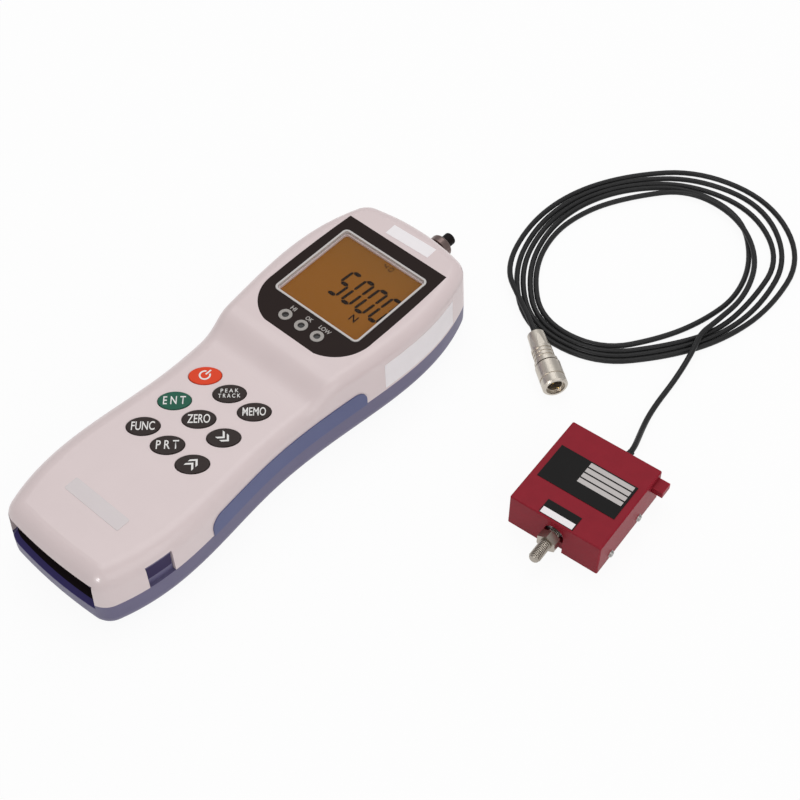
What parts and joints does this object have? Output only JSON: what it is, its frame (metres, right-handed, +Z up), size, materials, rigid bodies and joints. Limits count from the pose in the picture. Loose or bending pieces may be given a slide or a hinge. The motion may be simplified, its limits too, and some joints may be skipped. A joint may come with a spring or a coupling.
{
  "type": "force gauge",
  "caption": "Hand-held digital force indicator with display, keypad and waisted two-part housing, and its separate load cell block on a coiled cable with plug.",
  "frame": {"origin": "centre of the hand-held housing's back, on the surface that it and its sensor lie on", "axes": "+Z up out of the display side, +Y along the housing towards the display end and the sensor socket, +X to the housing's right"},
  "size_m": [0.1899, 0.359, 0.0382],
  "materials": {
    "case_plastic": "moulded, satin",
    "shell_plastic": "moulded, satin",
    "grip_plastic": "satin",
    "panel_plastic": "satin",
    "bezel_film": "gloss",
    "frame_plastic": "gloss",
    "window_clear": "clear, gloss",
    "display_film": "gloss",
    "light_guide": "satin",
    "lens_dark": "gloss",
    "key_dark": "satin",
    "key_red": "satin",
    "key_green": "satin",
    "silicone": "matte",
    "board": "solder mask",
    "black_plastic": "satin",
    "cell_wrap": "gloss",
    "steel": "brushed",
    "brass": "turned",
    "nickel": "plated, satin",
    "sensor_red": "anodised, satin",
    "beam_alloy": "milled",
    "gauge_foil": "film",
    "label_white": "satin film",
    "badge_clear": "satin film",
    "plate_black": "satin",
    "cable_rubber": "satin"
  },
  "bodies": {
    "handheld": {"front_case": "case_plastic", "rear_case": "shell_plastic", "side_grip_right": "grip_plastic", "side_grip_left": "grip_plastic", "end_panel": "panel_plastic", "display_bezel": "bezel_film", "window_frame": "frame_plastic", "display_window": "window_clear", "lcd_panel": "display_film", "backlight": "light_guide", "lcd_holder": "black_plastic", "indicator_rings": "frame_plastic", "indicator_lenses": "lens_dark", "keypad_mat": "silicone", "dome_switches": "steel", "main_board": "board", "board_screws": "steel", "board_components": "black_plastic", "buzzer": "black_plastic", "battery_holder": "black_plastic", "battery_cells": "cell_wrap", "battery_contacts": "steel", "case_screws": "steel", "mounting_inserts": "brass", "socket_body": "nickel", "socket_pin": "black_plastic", "socket_nut": "nickel", "side_label": "label_white", "top_label": "label_white", "badge_plate": "badge_clear"},
    "key_power": {"key_power": "key_red"},
    "key_peak_track": {"key_peak_track": "key_dark"},
    "key_memo": {"key_memo": "key_dark"},
    "key_enter": {"key_enter": "key_green"},
    "key_zero": {"key_zero": "key_dark"},
    "key_shift": {"key_shift": "key_dark"},
    "key_func": {"key_func": "key_dark"},
    "key_print": {"key_print": "key_dark"},
    "key_up": {"key_up": "key_dark"},
    "battery_cover": {"battery_cover": "shell_plastic"},
    "sensor": {"sensor_cover": "sensor_red", "sensor_base": "sensor_red", "load_beam": "beam_alloy", "strain_gauges": "gauge_foil", "bridge_board": "board", "load_stud": "steel", "stud_nut": "steel", "cover_screws": "steel", "beam_screws": "steel", "name_plate": "plate_black", "range_label": "label_white", "cable_grommet": "cable_rubber", "cable_lead": "cable_rubber", "cable_coil": "cable_rubber", "cable_tail": "cable_rubber", "plug_clamp": "nickel", "plug_body": "nickel", "plug_insert": "black_plastic", "plug_pins": "brass"},
    "plug_ring": {"plug_ring": "nickel"}
  },
  "joints": [
    {"name": "key_power_press", "type": "slide", "parent": "handheld", "child": "key_power", "axis": [0, 0, -1], "range_m": [0, 0.0005], "stiffness_N_per_m": 1500},
    {"name": "key_peak_track_press", "type": "slide", "parent": "handheld", "child": "key_peak_track", "axis": [0, 0, -1], "range_m": [0, 0.0005], "stiffness_N_per_m": 1500},
    {"name": "key_memo_press", "type": "slide", "parent": "handheld", "child": "key_memo", "axis": [0, 0, -1], "range_m": [0, 0.0005], "stiffness_N_per_m": 1500},
    {"name": "key_enter_press", "type": "slide", "parent": "handheld", "child": "key_enter", "axis": [0, 0, -1], "range_m": [0, 0.0005], "stiffness_N_per_m": 1500},
    {"name": "key_zero_press", "type": "slide", "parent": "handheld", "child": "key_zero", "axis": [0, 0, -1], "range_m": [0, 0.0005], "stiffness_N_per_m": 1500},
    {"name": "key_shift_press", "type": "slide", "parent": "handheld", "child": "key_shift", "axis": [0, 0, -1], "range_m": [0, 0.0005], "stiffness_N_per_m": 1500},
    {"name": "key_func_press", "type": "slide", "parent": "handheld", "child": "key_func", "axis": [0, 0, -1], "range_m": [0, 0.0005], "stiffness_N_per_m": 1500},
    {"name": "key_print_press", "type": "slide", "parent": "handheld", "child": "key_print", "axis": [0, 0, -1], "range_m": [0, 0.0005], "stiffness_N_per_m": 1500},
    {"name": "key_up_press", "type": "slide", "parent": "handheld", "child": "key_up", "axis": [0, 0, -1], "range_m": [0, 0.0005], "stiffness_N_per_m": 1500},
    {"name": "battery_cover_slide", "type": "slide", "parent": "handheld", "child": "battery_cover", "axis": [0, -1, 0], "range_m": [0, 0.08]},
    {"name": "sensor_lift", "type": "slide", "parent": "handheld", "child": "sensor", "axis": [0, 0, 1], "range_m": [0, 0.1]},
    {"name": "plug_ring_turn", "type": "hinge", "parent": "sensor", "child": "plug_ring", "pos_m": [0.07901, 0.10051, 0.0056], "axis": [0.8171, -0.5764, 0], "continuous": true}
  ]
}
